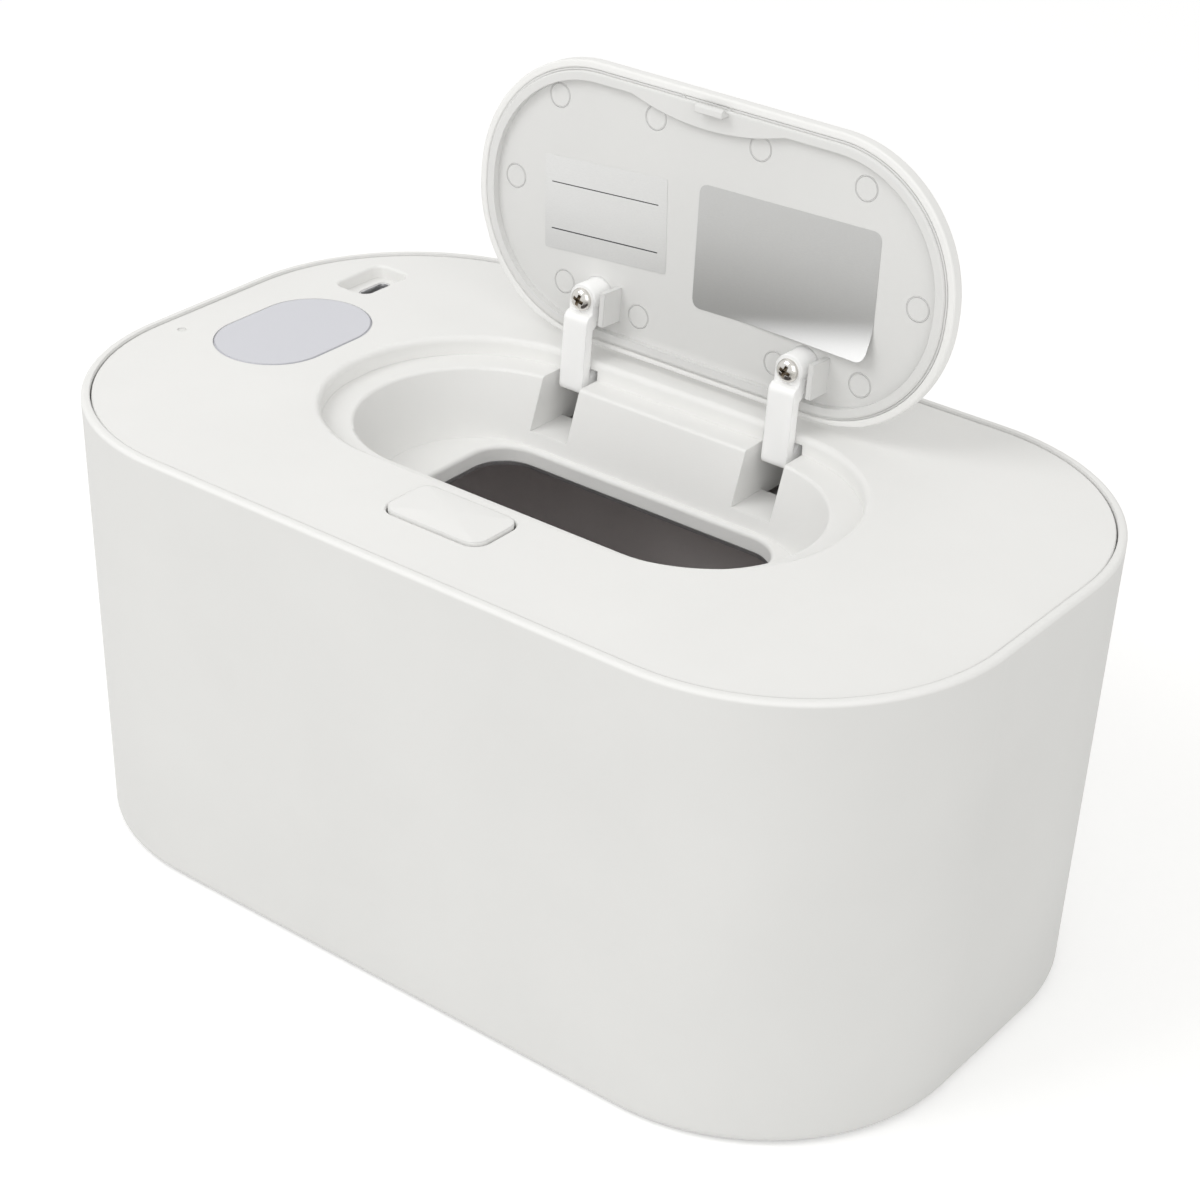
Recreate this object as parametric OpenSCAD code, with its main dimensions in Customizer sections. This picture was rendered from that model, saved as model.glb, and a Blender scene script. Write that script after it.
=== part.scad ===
// Baby wipe warmer: a drafted bucket with a heated lift-off top cover,
// a dispensing well, a hinged lid on two gooseneck arms and a push-button latch.
// Units are millimetres, +Z up, origin under the centre of the base, button side -Y.
// The lid is drawn open, as it stands at rest.

/* [View] */
// Which sub-part to draw

/* [Body] */
// Overall length of the body, left to right
body_l = 220; // [200:1:240]
// Overall width of the body, front to back
body_w = 132; // [124:1:150]
// Height of the rim above the table
body_h = 102.8; // [96:0.2:130]
// Corner radius of the rim, seen from above
corner_r = 49.2; // [40:0.2:58]
// How far each wall leans in from the rim to the bottom edge
draft = 2.4; // [0:0.2:5]
// Wall of the bucket below the rebate
shell_wall = 2.6; // [2:0.1:4]
// Wall of the bucket's visible rim
rim_wall = 1.9; // [1.4:0.1:2.4]
// Bottom of the bucket
floor_t = 2.6; // [2:0.1:5]
// How far the rubber feet stand below the bucket
foot_proud = 0.6; // [0.3:0.1:3]
// Radius of a rubber foot
foot_r = 8; // [5:0.5:12]
// Distances of the feet from the ends and from the sides
foot_in = [38, 30]; // [26:1:50]
// Radius of the rim's outer edge and of the bottom edge
rim_round = 0.9; // [0.3:0.1:1]
bottom_round = 1.6; // [0.5:0.1:2]

/* [Tub] */
// Wall of the inner tub
tub_wall = 1.6; // [1.2:0.1:3]
// Height of the posts that the tub stands on
tub_post_h = 4; // [2:0.5:10]
// How far the tub's side leans in from its mouth to its floor
tub_draft = 4.6; // [2:0.2:8]
// Distances of the tub's outer posts from the ends and sides
post_in = [50, 38]; // [44:1:60]
// Thickness of the tub's flange
tub_flange_t = 1.6; // [1.2:0.1:3]

/* [Top cover] */
// How far the deck lies below the rim
deck_drop = 0.4; // [0:0.1:2]
// Thickness of the deck
deck_t = 2; // [1.6:0.1:3]
// Gap between the deck's edge and the rim
cover_gap = 0.3; // [0.2:0.05:0.6]
// Thickness of the cover's skirt
skirt_wall = 1.6; // [1.2:0.1:3]
// Depth of the dispensing neck's lower edge below the deck
neck_depth = 22.7; // [20:0.1:30]
// Distances of the cover's corner screws from the ends and sides
screw_in = [39, 20]; // [36:1:50]
// Distances of the end screw and of the rear screw from the edge of the body
screw_mid_in = [14, 13]; // [12:0.5:16]
// Radius of the deck's edge beside the rim
deck_round = 0.4; // [0.2:0.1:0.6]
// Sideways place of the lid, well and button
well_x = -0.6; // [-10:0.1:10]
// Front-to-back place of the lid and well
well_y = 0.5; // [-3:0.1:3]

/* [Recess and well] */
// Length of the lid recess
recess_l = 124.4; // [110:0.2:140]
// Width of the lid recess
recess_w = 65; // [56:0.2:76]
// Depth of the recess down to its ledge
recess_depth = 4.2; // [3.6:0.1:6]
// Length of the well at the ledge
well_l = 111.2; // [90:0.2:120]
// Width of the well at the ledge
well_w = 52.6; // [44:0.2:60]
// Depth of the well's floor below the deck
well_depth = 19; // [17:0.5:22]
// How far the well's walls lean in on the way down
well_lean = 5.2; // [2:0.1:6]
// Wall of the recess and well
well_wall = 1.8; // [1.4:0.1:3]
// Length of the dispensing opening
open_l = 77.6; // [60:0.2:86]
// Width of the dispensing opening
open_w = 39.2; // [24:0.2:40]
// Corner radius of the dispensing opening
open_r = 9; // [4:0.5:14]
// Radius of the recess's upper edge
recess_round = 1.4; // [0.4:0.1:1.6]
// Radius of the well's upper edge
well_round = 0.9; // [0.4:0.1:2]
// Radius of the edge round the dispensing opening
open_round = 1; // [0.4:0.1:1.5]
// Wall of the neck round the opening
neck_wall = 1.5; // [1.2:0.1:3]

/* [Lid] */
// Gap between the lid and its recess
lid_gap = 0.9; // [0.4:0.05:1]
// Height of the lid's edge
lid_edge_h = 3.4; // [2.6:0.1:3.6]
// Thickness of the lid's outer skin
lid_skin = 1.2; // [1:0.1:2]
// Width of the lid's outer rim
lid_rim = 1.8; // [1.6:0.1:4]
// Width of the groove between the two rims
groove_w = 0.5; // [0.3:0.1:1.5]
// Depth of that groove
groove_depth = 0.6; // [0.3:0.1:1]
// Width of the liner's raised rim
liner_rim = 2.1; // [1.6:0.1:5]
// Clearance between the liner's rim and the ledge
liner_lift = 0.3; // [0.3:0.1:0.6]
// Radius of the lid's outer edge
lid_round = 1; // [0.4:0.1:1.5]
// Radius of the edges of the liner's rim
liner_round = 0.5; // [0.2:0.1:0.8]
// Thickness of the liner's panel
liner_t = 1.1; // [0.9:0.1:2]
// Opening angle of the lid from closed
lid_angle = 93.5; // [91:0.5:100]

/* [Hinge] */
// How far the hinge pin lies behind the recess wall
pin_back = 3.8; // [3:0.1:6]
// How far the hinge pin lies below the deck
pin_drop = 3.4; // [3.2:0.1:5]
// Radius of the hinge pins
pin_r = 1; // [0.8:0.1:1.5]
// Radius of the arm's eye
eye_r = 2.05; // [1.8:0.05:2.2]
// Distance of each arm from the middle of the well
arm_x = 27.2; // [20:0.1:36]
// Width of a hinge arm
arm_w = 6.4; // [4:0.1:8]
// Thickness of a hinge arm's blade
arm_t = 2.4; // [1.8:0.1:4]
// Radius of the blade's rounded head
head_r = 1.8; // [1.2:0.1:2]
// Width of the slots that the arms swing in
slot_w = 10; // [8:0.1:14]
// Depth of the slot floors below the deck
slot_depth = 16; // [14:0.5:17]
// Wall round the hinge bays
bay_wall = 1.6; // [1.2:0.1:3]
// Running clearance of the arm's eye on its pin
pin_fit = 0.05; // [0.02:0.01:0.1]
// Radius of the screw bosses under the lid
boss_r = 3.2; // [2.4:0.1:4]
// Radius of a lid screw's head
screw_head_r = 2.6; // [2:0.1:3.2]
// Radius of a screw's shank
screw_r = 1.2; // [0.9:0.05:1.6]

/* [Button and latch] */
// Length of the button's cut-out
button_l = 25.3; // [18:0.1:34]
// Width of the button's cut-out
button_w = 14.3; // [10:0.1:18]
// Corner radius of the button's cut-out
button_r = 3.65; // [1:0.05:6]
// Distance from the recess wall to the button's cut-out
button_back = 3.25; // [2:0.05:5]
// Gap round the button
button_gap = 0.4; // [0.3:0.05:0.8]
// How far the button stands above the deck at its middle
button_proud = 1; // [0.4:0.1:2]
// Travel of the button, and of the latch that follows it
travel = 1.5; // [1.1:0.1:1.7]
// Width of the latch's tongue
tongue_w = 9; // [5:0.5:12]
// Thickness of the latch's tongue
tongue_t = 1; // [0.8:0.1:1.2]
// Grip of the tongue under the lid's hook
grip = 0.6; // [0.4:0.1:0.8]
// Running clearance of the latch in its channel
latch_fit = 0.4; // [0.3:0.05:0.6]
// Wire radius of the button's spring
wire_r = 0.2; // [0.15:0.05:0.3]
// Turns of the button's spring
turns = 6; // [4:1:9]

/* [Heater and electronics] */
// Thickness of the heat plate
plate_t = 1; // [0.8:0.1:2]
// Thickness of the heater film
film_t = 0.3; // [0.2:0.05:0.5]
// Length and width of the display window, along X and Y
window_size = [26.6, 39.2]; // [16:0.2:50]
// Place of the window's middle between the left end (0) and the lid recess (1)
window_place = 0.58; // [0.5:0.01:0.65]
// Front-to-back place of the display window
window_y = 0.9; // [-6:0.1:6]
// Length and width of the socket recess, along X and Y
socket_recess = [9.8, 15.5]; // [8:0.1:24]
// Distances of the socket recess's middle from the left end and from the rear
socket_recess_in = [19.9, 31.75]; // [18:0.05:40]
// Depth of the socket recess
socket_recess_d = 3; // [1:0.1:5]
// Shift of the charging socket from the middle of its recess
socket_shift = [-0.5, 1.35]; // [-2:0.05:2]
// Length and width of the charging slot, along Y and X
socket_slot = [9.1, 3.4]; // [3:0.1:10]
// Distance of the indicator light from the left end
indicator_in = 7.6; // [7.4:0.1:9]
// Front-to-back place of the indicator light
indicator_y = -15; // [-16:0.5:16]
// Edge of the control board beyond the display window
board_margin = 1.9; // [1:0.1:2.5]
// Thickness of the circuit boards
board_t = 1.2; // [0.8:0.1:1.6]

/* [Labels] */
// Length and width of the left label
label_a_size = [33, 21]; // [16:0.5:36]
// Place of the left label on the closed lid
label_a_at = [-27, 1.1]; // [-40:0.1:40]
// Length and width of the right label
label_b_size = [45.2, 27.4]; // [20:0.2:48]
// Place of the right label on the closed lid
label_b_at = [20, 1.1]; // [-40:0.1:40]

/* [Hidden] */
$fn = 96;
eps = 0.01;
cut = 2;

// Small fixed forms of bought-in and hidden pieces
screw_reach = 7;
screw_cap_r = 2.4;
display_in = [8.6, 11.2];
display_h = 3.7;
chip_a = [7, 7, 1.2];
chip_a_at = [-6, -6];
chip_b = [6, 5, 3.5];
chip_b_at = [3, 8];
socket_h = 7.3;
usb_board_l = 10;
usb_board_more = 9.9;
retainer_more = [6, 2.8];
cup_r = 3;
cup_wall = 1.2;
pad_chord = 19.5;
pad_bulge = 3.15;
pad_shift = -1.8;

half_l = body_l / 2;
half_w = body_w / 2;
base_z = foot_proud;
deck_z = body_h - deck_drop;
under_z = deck_z - deck_t;
ledge_z = deck_z - recess_depth;
well_z = deck_z - well_depth;
neck_z = deck_z - neck_depth;
floor_z = base_z + floor_t;
lean = draft / (body_h - base_z);

// The heater sandwich under the neck, from the bottom up
plate_z = neck_z - plate_t;
film_z = neck_z;
inner_cover_z = film_z + film_t;
well_under_z = well_z - well_wall - 0.2;
inner_cover_t = well_under_z - inner_cover_z;
skirt_z = plate_z - 0.1;
tub_top_z = skirt_z - 0.2;
rebate_z = under_z - 0.2;

// Outline of the skirt: clear of the leaning wall at the skirt's foot
skirt_in = shell_wall + lean * (body_h - skirt_z) + 0.35;
tub_floor_z = floor_z + tub_post_h;
tub_mouth_in = skirt_in + skirt_wall + 1.9;

recess_r = recess_w / 2 - 0.8;
well_angle = atan(well_lean / (ledge_z - well_z));
lid_l = recess_l - 2 * lid_gap;
lid_w = recess_w - 2 * lid_gap;
lid_r = recess_r - lid_gap;
lid_bottom_z = deck_z - lid_edge_h;
liner_top_z = deck_z - lid_skin;
panel_z = liner_top_z - liner_t;
liner_bottom_z = ledge_z + liner_lift;
liner_in = lid_rim + groove_w;

pin_y = well_y + recess_w / 2 + pin_back;
pin_z = deck_z - pin_drop;
blade_out = 6.6;
blade_in = blade_out - arm_t;
pad_out = 4.8;
pad_in = 2.6;
boss_y = 19.9;
boss_rel = boss_y - pin_y;
blade_top = boss_rel + screw_head_r + 0.4;
slot_floor_z = deck_z - slot_depth;
bay_end = 8.8;
bay_front = 22;
slot_front = 15;

button_y = well_y - recess_w / 2 - button_back - button_w / 2;
button_foot = under_z + 0.2;
tongue_top = liner_bottom_z - 0.2;
hook_top = tongue_top - tongue_t - 0.15;
hook_t = 1.1;
hook_y = well_y - lid_w / 2 + liner_in + 0.2;
tongue_tip = hook_y - 0.2;
hook_w = 7;
channel_w = 13;
slider_h = 6.8;
cheek_t = 2.6;
stem_size = [4.8, 3.6];
cam_pin_r = 1;
cam_pin_fit = 0.02;
dome_l = 40;
channel_y = [button_y - 10.5, button_y + 7.5];
slider_z = deck_z - 11.5;
retainer_z = slider_z - 0.2;
cam_z = slider_z + 3.7;
stem_bottom = slider_z + 1.5;
cup_z = retainer_z - 6.4;
spring_z = cup_z + 0.2;

retainer_x = button_l / 2 + 3.2;

// Places that keep their distance from the body's ends and sides
window_span = half_l + well_x - recess_l / 2 - well_wall;
window_at = [window_place * window_span - half_l, window_y];
socket_recess_at = [socket_recess_in[0] - half_l, half_w - socket_recess_in[1]];
socket_at = socket_recess_at + socket_shift;
indicator_at = [indicator_in - half_l, indicator_y];
board_size = [window_size[0] - 1.6, window_size[1]] + [board_margin, 2 * board_margin];
board_z = under_z - display_h - board_t;
screw_x = half_l - screw_in[0];
screw_y = half_w - screw_in[1];
boss_at = [[-screw_x, -screw_y], [-screw_x, screw_y], [screw_x, -screw_y], [screw_x, screw_y],
    [half_l - screw_mid_in[0], 0], [0, half_w - screw_mid_in[1]]];

// Rounded rectangle in the plane, with true corner arcs
module rrect(l, w, r) {
    q = min(r, l / 2, w / 2);
    union() {
        if (l > 2 * q + eps) square([l - 2 * q, w], center = true);
        if (w > 2 * q + eps) square([l, w - 2 * q], center = true);
        for (x = [-1, 1], y = [-1, 1])
            translate([x * (l / 2 - q), y * (w / 2 - q)])
                circle(r = q);
    }
}

module slab(l, w, r, z0, z1) {
    translate([0, 0, z0])
        linear_extrude(height = z1 - z0)
            rrect(l, w, r);
}

// Rounded block whose sides lean in towards the bottom by the same amount all
// round: four cones at the corners and two tapered bars between them
module leaning(l0, w0, r0, z0, l1, w1, r1, z1) {
    cx = l0 / 2 - r0;
    cy = w0 / 2 - r0;
    union() {
        for (x = [-1, 1], y = [-1, 1])
            translate([x * cx, y * cy, z0])
                cylinder(r1 = r0, r2 = r1, h = z1 - z0);
        if (cx > eps)
            translate([-cx, 0, 0])
                rotate([90, 0, 90])
                    linear_extrude(height = 2 * cx)
                        polygon([[-w0 / 2, z0], [w0 / 2, z0], [w1 / 2, z1], [-w1 / 2, z1]]);
        if (cy > eps)
            translate([0, cy, 0])
                rotate([90, 0, 0])
                    linear_extrude(height = 2 * cy)
                        polygon([[-l0 / 2, z0], [l0 / 2, z0], [l1 / 2, z1], [-l1 / 2, z1]]);
    }
}

// Cutter that rounds the upper edge round an outline by rad. Side 1 rounds the edge
// of an opening, whose wall may lean in by angle a on the way down; side -1 rounds
// the outer edge of a block.
module round_edge(l, w, r, z, rad, side = 1, a = 0) {
    cx = rad * (1 - sin(a)) / cos(a);
    xw = cx - rad * cos(a);
    zw = z - rad + rad * sin(a);
    module profile() {
        difference() {
            scale([side, 1])
                polygon([[cx, z - rad], [cx, z + 0.5], [xw - 0.4, z + 0.5], [xw - 0.4, zw], [xw, zw]]);
            translate([side * cx, z - rad])
                circle(r = rad, $fn = 48);
        }
    }
    q = min(r, l / 2, w / 2);
    for (i = [0 : 3]) {
        odd = i % 2;
        run = odd ? l - 2 * q : w - 2 * q;
        rotate([0, 0, 90 * i])
            translate([(odd ? w : l) / 2 - q, (odd ? l : w) / 2 - q, 0]) {
                rotate_extrude(angle = 90)
                    translate([q, 0])
                        profile();
                if (run > eps)
                    rotate([90, 0, 0])
                        translate([q, 0, 0])
                            linear_extrude(height = run)
                                profile();
            }
    }
}

// The same for a lower edge
module round_low(l, w, r, z, rad, side = 1) {
    translate([0, 0, z])
        mirror([0, 0, 1])
            round_edge(l, w, r, 0, rad, side);
}

// Body outline moved in by a wall, between two heights
module body_block(inset, z0, z1, extra0 = 0) {
    i0 = inset + lean * (body_h - z0) + extra0;
    i1 = inset + lean * (body_h - z1);
    leaning(body_l - 2 * i0, body_w - 2 * i0, corner_r - i0, z0,
        body_l - 2 * i1, body_w - 2 * i1, corner_r - i1, z1);
}

// Straight slab with the body outline moved in
module body_slab(inset, z0, z1) {
    slab(body_l - 2 * inset, body_w - 2 * inset, corner_r - inset, z0, z1);
}

module at_well() {
    translate([well_x, well_y, 0])
        children();
}

// From the closed lid's place to the open one
module opened() {
    translate([0, pin_y, pin_z])
        rotate([-lid_angle, 0, 0])
            translate([0, -pin_y, -pin_z])
                children();
}

// A profile in the pin's (y, z) plane, drawn out along X
module along_x(x0, x1) {
    translate([x0, 0, 0])
        rotate([90, 0, 90])
            linear_extrude(height = x1 - x0)
                children();
}

module post(x, y, r, z0, z1) {
    translate([x, y, z0])
        cylinder(r = r, h = z1 - z0);
}

// Base

module outer_shell() {
    color([0.92, 0.92, 0.91])
    union() {
        difference() {
            body_block(0, base_z, body_h);
            body_block(shell_wall, floor_z, rebate_z + 1);
            body_slab(rim_wall, rebate_z, body_h + cut);
            for (x = [-1, 1], y = [-1, 1])
                post(x * (half_l - foot_in[0]), y * (half_w - foot_in[1]), foot_r + 0.2,
                    base_z - cut, base_z + 1);
            round_edge(body_l, body_w, corner_r, body_h, rim_round, -1);
            round_low(body_l - 2 * draft, body_w - 2 * draft, corner_r - draft, base_z,
                bottom_round, -1);
        }
        for (x = [-1, 0, 1], y = [-1, 1])
            post(x * (half_l - post_in[0]), y * (half_w - post_in[1]), 4, floor_z - eps, tub_floor_z);
    }
}

module inner_tub() {
    bottom_in = tub_mouth_in - tub_wall + tub_draft;
    color([0.32, 0.3, 0.29])
    difference() {
        union() {
            leaning(body_l - 2 * bottom_in, body_w - 2 * bottom_in, corner_r - bottom_in,
                tub_floor_z,
                body_l - 2 * (tub_mouth_in - tub_wall), body_w - 2 * (tub_mouth_in - tub_wall),
                corner_r - tub_mouth_in + tub_wall, tub_top_z - tub_flange_t + 0.2);
            body_slab(skirt_in + 0.1, tub_top_z - tub_flange_t, tub_top_z);
        }
        leaning(body_l - 2 * (bottom_in + tub_wall), body_w - 2 * (bottom_in + tub_wall),
            corner_r - bottom_in - tub_wall, tub_floor_z + tub_wall,
            body_l - 2 * tub_mouth_in, body_w - 2 * tub_mouth_in,
            corner_r - tub_mouth_in, tub_top_z + 0.1);
    }
}

module insulation_sleeve() {
    top = tub_top_z - tub_flange_t;
    bottom_in = tub_mouth_in - tub_wall + tub_draft;
    color([0.75, 0.76, 0.78])
    difference() {
        body_block(shell_wall + 0.15, tub_floor_z, top);
        leaning(body_l - 2 * (bottom_in - 0.15), body_w - 2 * (bottom_in - 0.15),
            corner_r - bottom_in + 0.15, tub_floor_z - 0.5,
            body_l - 2 * (tub_mouth_in - tub_wall - 0.15),
            body_w - 2 * (tub_mouth_in - tub_wall - 0.15),
            corner_r - tub_mouth_in + tub_wall + 0.15, top + 0.5);
    }
}

module foot(x, y) {
    color([0.25, 0.25, 0.26])
    post(x * (half_l - foot_in[0]), y * (half_w - foot_in[1]), foot_r, 0, base_z + 1);
}

module foot_front_left() { foot(-1, -1); }
module foot_front_right() { foot(1, -1); }
module foot_rear_left() { foot(-1, 1); }
module foot_rear_right() { foot(1, 1); }

// Top cover

module well_cut(grow, z0, z1) {
    // the well's leaning walls, moved out by grow and drawn from z0 to z1
    k = (z1 - z0) / (ledge_z - well_z);
    l0 = well_l - 2 * well_lean + 2 * grow;
    w0 = well_w - 2 * well_lean + 2 * grow;
    l1 = l0 + 2 * well_lean * k;
    w1 = w0 + 2 * well_lean * k;
    ends = w0 / 2;
    leaning(l0, w0, ends, z0, l1, w1, ends + well_lean * k, z1);
}

module top_cover() {
    channel_len = channel_y[1] - channel_y[0];
    channel_mid = (channel_y[1] + channel_y[0]) / 2;
    color([0.93, 0.93, 0.92])
    difference() {
        union() {
            // deck and skirt
            body_slab(rim_wall + cover_gap, under_z, deck_z);
            difference() {
                body_slab(skirt_in, skirt_z, under_z + eps);
                body_slab(skirt_in + skirt_wall, skirt_z - cut, under_z + cut);
            }
            at_well() {
                // recess tray, well bowl and neck
                slab(recess_l + 2 * well_wall, recess_w + 2 * well_wall, recess_r + well_wall,
                    ledge_z - well_wall, under_z + eps);
                well_cut(well_wall, well_under_z, ledge_z - 0.5);
                slab(open_l + 2 * neck_wall, open_w + 2 * neck_wall, open_r + neck_wall,
                    neck_z, well_z);
            }
            // hinge bays
            for (s = [-1, 1])
                translate([well_x + s * arm_x - slot_w / 2 - bay_wall, well_y + bay_front,
                        slot_floor_z - bay_wall])
                    cube([slot_w + 2 * bay_wall, pin_y + bay_end + bay_wall - well_y - bay_front,
                        under_z - slot_floor_z + bay_wall + eps]);
            // latch channel, hung under the deck
            translate([well_x - channel_w / 2 - latch_fit - 1.4, channel_y[0] - 1.4, retainer_z])
                cube([channel_w + 2 * latch_fit + 2.8, channel_len + 2.8, under_z - retainer_z + eps]);
            for (s = [-1, 1]) {
                post(well_x + s * retainer_x, button_y, 2.6, retainer_z, under_z + eps);
                post(well_x + s * retainer_x, button_y, 1.2, retainer_z - 1.8, retainer_z + eps);
            }
            // floor of the hook's pocket
            translate([well_x - tongue_w / 2 - 2, channel_y[1], hook_top - hook_t - 1.9])
                cube([tongue_w + 4, 10, 5]);
            // screw posts for the inner cover
            for (p = boss_at)
                post(p[0], p[1], 3, well_under_z, under_z + eps);
            // posts for the control board
            board_posts(1.6, under_z - display_h, under_z + eps);
            // well of the charging socket and its board posts
            translate([socket_recess_at[0], socket_recess_at[1], 0])
                slab(socket_recess[0] + 3.2, socket_recess[1] + 3.2, 4.2,
                    deck_z - socket_recess_d - 1.8, under_z + eps);
            for (y = [-1, 1])
                post(socket_at[0], socket_at[1] + y * 7.4, 1.3,
                    deck_z - socket_recess_d - 7.3, deck_z - socket_recess_d - 1.8 + eps);
        }
        round_edge(body_l - 2 * (rim_wall + cover_gap), body_w - 2 * (rim_wall + cover_gap),
            corner_r - rim_wall - cover_gap, deck_z, deck_round, -1);
        at_well() {
            slab(recess_l, recess_w, recess_r, ledge_z, deck_z + cut);
            well_cut(0, well_z, ledge_z + 0.5);
            slab(open_l, open_w, open_r, neck_z - cut, well_z + cut);
            round_edge(recess_l, recess_w, recess_r, deck_z, recess_round);
            round_edge(well_l, well_w, well_w / 2, ledge_z, well_round, 1, well_angle);
            round_edge(open_l, open_w, open_r, well_z, open_round);
        }
        // slots, bays, pin bores and the relief over each eye
        for (s = [-1, 1]) {
            translate([well_x + s * arm_x - slot_w / 2, well_y + slot_front, slot_floor_z])
                cube([slot_w, pin_y + bay_end - well_y - 15, under_z - slot_floor_z]);
            // the bay is open below the pin
            translate([well_x + s * arm_x - slot_w / 2, pin_y - pin_back + 0.8,
                slot_floor_z - bay_wall - cut])
                cube([slot_w, pin_back - 0.8 + bay_end, bay_wall + cut + eps]);
            translate([well_x + s * arm_x, pin_y, pin_z])
                rotate([0, 90, 0]) {
                    cylinder(r = pin_r + 0.02, h = slot_w + 2 * bay_wall + cut, center = true);
                    cylinder(r = eye_r + 0.35, h = slot_w, center = true);
                }
        }
        // button cut-out and latch channel
        translate([well_x, button_y, 0]) {
            slab(button_l, button_w, button_r, button_foot - travel - 0.3, deck_z + cut);
            round_edge(button_l, button_w, button_r, deck_z, 0.5);
        }
        translate([well_x - channel_w / 2 - latch_fit, channel_y[0], retainer_z - cut])
            cube([channel_w + 2 * latch_fit, channel_len, under_z - retainer_z + cut]);
        translate([well_x - tongue_w / 2 - latch_fit, channel_y[1] - 1, tongue_top - tongue_t - 0.3])
            cube([tongue_w + 2 * latch_fit, 8, tongue_t + 0.6]);
        translate([well_x - tongue_w / 2 - latch_fit, hook_y - 4.2, hook_top - hook_t - 0.5])
            cube([tongue_w + 2 * latch_fit, 5.6, 8]);
        for (p = boss_at)
            post(p[0], p[1], screw_r + 0.02, well_under_z - cut, well_under_z + 8);
        // display window seat and opening
        translate([window_at[0], window_at[1], 0]) {
            slab(window_size[0], window_size[1], window_size[0] / 2, deck_z - 1.3, deck_z + cut);
            slab(window_size[0] - 3.6, window_size[1] - 3.6, window_size[0] / 2 - 1.8,
                under_z - cut, deck_z);
        }
        // charging socket recess and its slot
        translate([socket_recess_at[0], socket_recess_at[1], 0]) {
            slab(socket_recess[0], socket_recess[1], 2.6, deck_z - socket_recess_d, deck_z + cut);
            round_edge(socket_recess[0], socket_recess[1], 2.6, deck_z, 0.6);
        }
        translate([socket_at[0], socket_at[1], 0])
            slab(socket_slot[1], socket_slot[0], socket_slot[1] / 2, deck_z - socket_recess_d - 3, deck_z);
        // indicator light
        post(indicator_at[0], indicator_at[1], 1, under_z - cut, deck_z + cut);
    }
}

module inner_cover() {
    in = skirt_in + skirt_wall + 0.3;
    color([0.42, 0.41, 0.4])
    difference() {
        body_slab(in, inner_cover_z, well_under_z);
        at_well()
            slab(open_l + 2 * neck_wall + 0.4, open_w + 2 * neck_wall + 0.4,
                open_r + neck_wall + 0.2, inner_cover_z - cut, well_under_z + cut);
        for (p = boss_at)
            post(p[0], p[1], screw_r + 0.15, inner_cover_z - cut, well_under_z + cut);
    }
}

// Posts or holes at the control board's corners
module board_posts(r, z0, z1) {
    for (x = [-1, 1], y = [-1, 1])
        post(window_at[0] + x * (board_size[0] / 2 - 1.8), window_at[1] + y * (board_size[1] / 2 - 2),
            r, z0, z1);
}

module heater_film() {
    in = skirt_in + skirt_wall + 6;
    color([0.82, 0.5, 0.2])
    difference() {
        body_slab(in, film_z, film_z + film_t);
        at_well()
            slab(open_l + 2 * neck_wall + 4, open_w + 2 * neck_wall + 4,
                open_r + neck_wall + 2, film_z - cut, film_z + cut);
        for (p = boss_at)
            post(p[0], p[1], 4, film_z - cut, film_z + cut);
    }
}

module heat_plate() {
    in = skirt_in + skirt_wall + 0.3;
    color([0.75, 0.76, 0.78])
    difference() {
        union() {
            body_slab(in, plate_z, plate_z + plate_t);
            for (p = boss_at)
                post(p[0], p[1], 3.4, plate_z, inner_cover_z);
        }
        at_well()
            slab(open_l, open_w, open_r, plate_z - cut, plate_z + cut);
        for (p = boss_at)
            post(p[0], p[1], screw_r + 0.15, plate_z - cut, inner_cover_z + cut);
    }
}

module cover_screws() {
    color([0.7, 0.7, 0.72])
    for (p = boss_at) {
        post(p[0], p[1], screw_r, plate_z - 0.5, well_under_z + screw_reach);
        post(p[0], p[1], screw_cap_r, plate_z - 1.3, plate_z);
    }
}

module thermal_fuse() {
    color([0.85, 0.83, 0.78])
    translate([screw_x, -screw_y / 2, well_under_z + 1.5])
        rotate([0, 90, 0]) {
            cylinder(r = 1.5, h = 10, center = true);
            cylinder(r = 0.35, h = 18, center = true);
        }
}

module thermistor() {
    color([0.2, 0.2, 0.2])
    translate([screw_x, screw_y / 2, well_under_z]) {
        translate([-3, -2, 0])
            cube([6, 4, 0.8]);
        translate([0, 0, 1.15])
            sphere(r = 1.1, $fn = 32);
    }
}

module display_window() {
    color([0.82, 0.82, 0.85])
    translate([window_at[0], window_at[1], 0]) {
        slab(window_size[0] - 0.2, window_size[1] - 0.2, window_size[0] / 2 - 0.1,
            deck_z - 1.3, deck_z - 0.2);
        slab(window_size[0] - 0.8, window_size[1] - 0.8, window_size[0] / 2 - 0.4,
            deck_z - 0.2 - eps, deck_z + 0.1);
    }
}

module display_module() {
    color([0.15, 0.15, 0.17])
    translate([window_at[0], window_at[1], 0])
        slab(window_size[0] - display_in[0], window_size[1] - display_in[1], 2,
            under_z - display_h, under_z + 0.7);
}

module control_board() {
    color([0.1, 0.4, 0.2])
    difference() {
        union() {
            translate([window_at[0], window_at[1], 0])
                slab(board_size[0], board_size[1], 1, board_z, board_z + board_t);
            translate([window_at[0] + chip_a_at[0], window_at[1] + chip_a_at[1], board_z - chip_a[2]])
                cube(chip_a + [0, 0, eps]);
            translate([window_at[0] + chip_b_at[0], window_at[1] + chip_b_at[1], board_z - chip_b[2]])
                cube(chip_b + [0, 0, eps]);
        }
        board_posts(0.8, board_z - 1, under_z);
    }
}

module indicator_pipe() {
    color([0.9, 0.9, 0.85])
    translate([indicator_at[0], indicator_at[1], 0]) {
        post(0, 0, 0.95, under_z - 3, deck_z - 0.15);
        post(0, 0, 1.7, under_z - 1.2, under_z);
    }
}

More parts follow.
